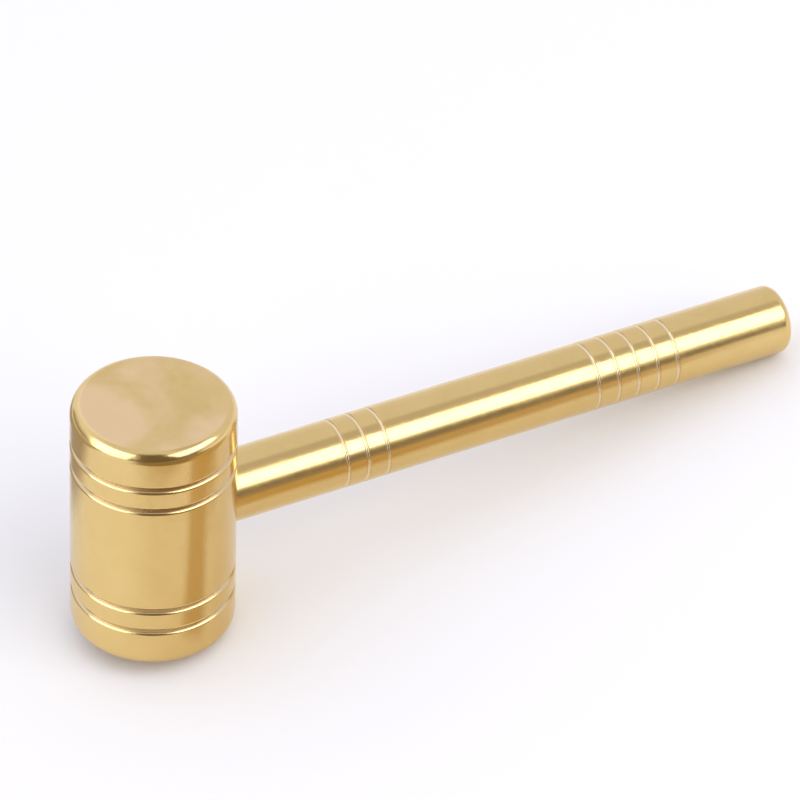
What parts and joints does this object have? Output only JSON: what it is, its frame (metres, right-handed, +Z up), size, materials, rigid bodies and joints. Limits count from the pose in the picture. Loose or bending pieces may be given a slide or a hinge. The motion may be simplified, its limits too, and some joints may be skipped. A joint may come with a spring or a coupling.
{
  "type": "brass hammer",
  "caption": "Small solid brass hammer: round grooved head with two flat striking faces, screwed crosswise to a straight grooved round handle, lying tipped on its head rim and butt.",
  "frame": {"origin": "on the bench, under the middle of the hammer's bounding box, as it lies at rest", "axes": "+Z up from the bench, +X along the bench from the head towards the butt; the handle slopes down by 8.9 degrees and the head's upper face leans by as much towards the butt"},
  "size_m": [0.1474, 0.03, 0.0524],
  "materials": {
    "head_brass": "polished, with faint turning marks",
    "handle_brass": "polished, with faint turning marks",
    "stud_steel": "plain threaded steel"
  },
  "bodies": {
    "root": {"head": "head_brass", "handle": "handle_brass", "joining_stud": "stud_steel"}
  },
  "joints": []
}
